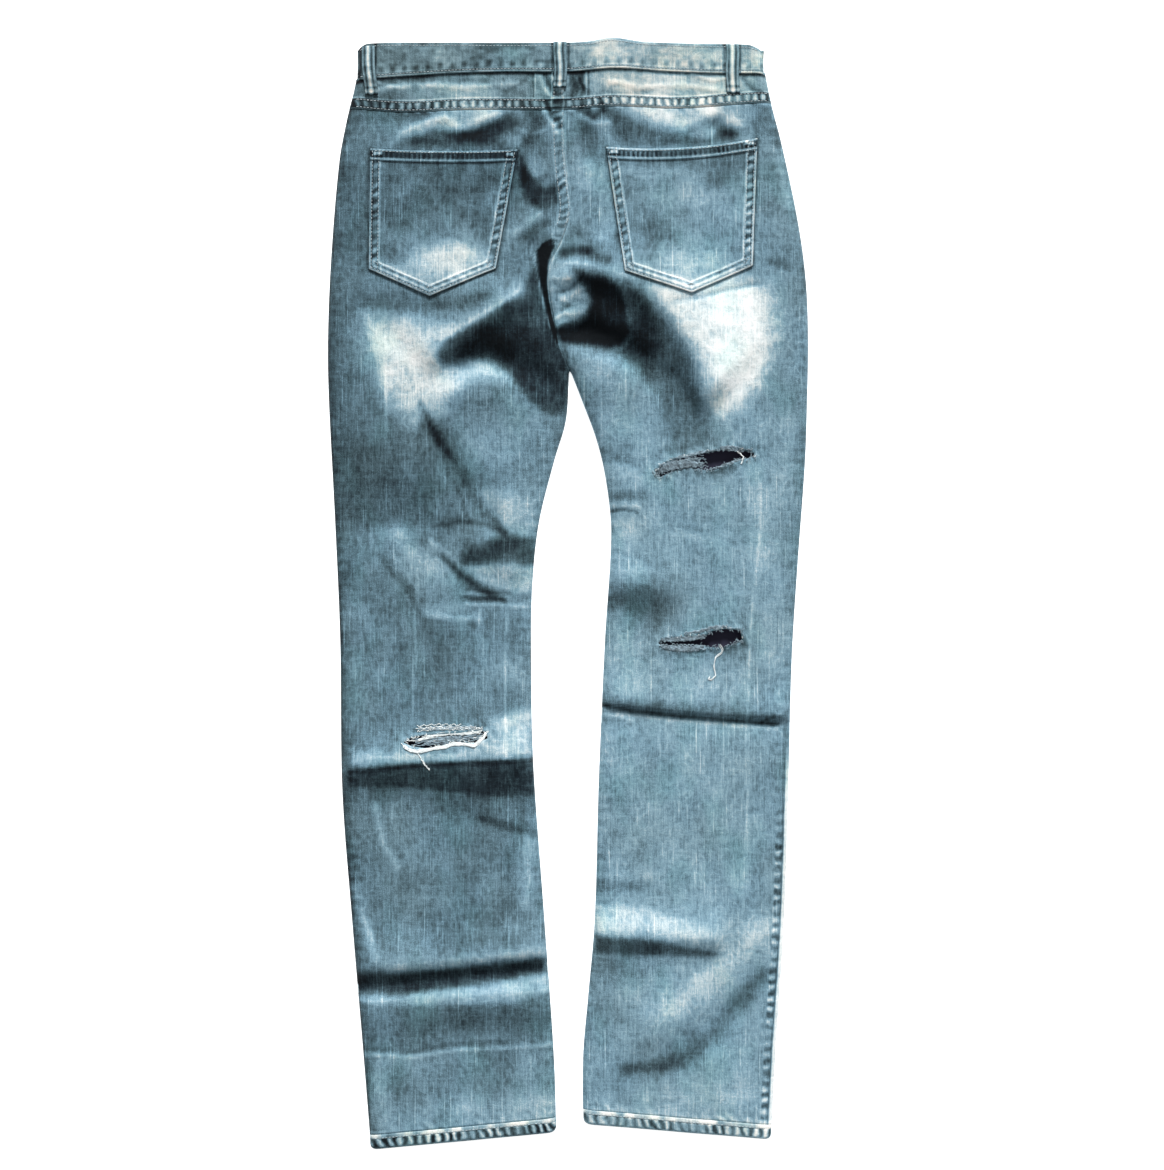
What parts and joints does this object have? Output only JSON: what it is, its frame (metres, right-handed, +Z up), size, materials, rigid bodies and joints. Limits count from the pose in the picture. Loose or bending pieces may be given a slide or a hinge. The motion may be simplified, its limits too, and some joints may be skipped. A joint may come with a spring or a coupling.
{
  "type": "ripped jeans",
  "caption": "Faded slim jeans with frayed tears across both legs, laid face down and flat with the back uppermost.",
  "frame": {"origin": "on the surface that the jeans lie on, under the middle of their outline", "axes": "+X towards the wearer's right side, +Y from the hems to the waistband, +Z up, out of the seat"},
  "size_m": [0.4681, 1.08, 0.0262],
  "materials": {
    "denim": "washed and faded indigo twill, paler on ridges and seams",
    "thread": "bleached cotton stitching, bar tacks and frayed ends",
    "zip_tape": "dark woven tape",
    "button_metal": "plain aged metal, satin"
  },
  "bodies": {
    "root": {"front_panel_left": "denim", "front_panel_right": "denim", "pocket_facing_left": "denim", "pocket_facing_right": "denim", "back_panel_left": "denim", "back_panel_right": "denim", "yoke_left": "denim", "yoke_right": "denim", "back_pocket_left": "denim", "back_pocket_right": "denim", "hem_left": "denim", "hem_right": "denim", "belt_loop_left_back": "denim", "belt_loop_centre_back": "denim", "belt_loop_right_back": "denim", "belt_loop_left_front": "denim", "belt_loop_right_front": "denim", "waistband": "denim", "zip": "zip_tape", "button": "button_metal"}
  },
  "joints": []
}
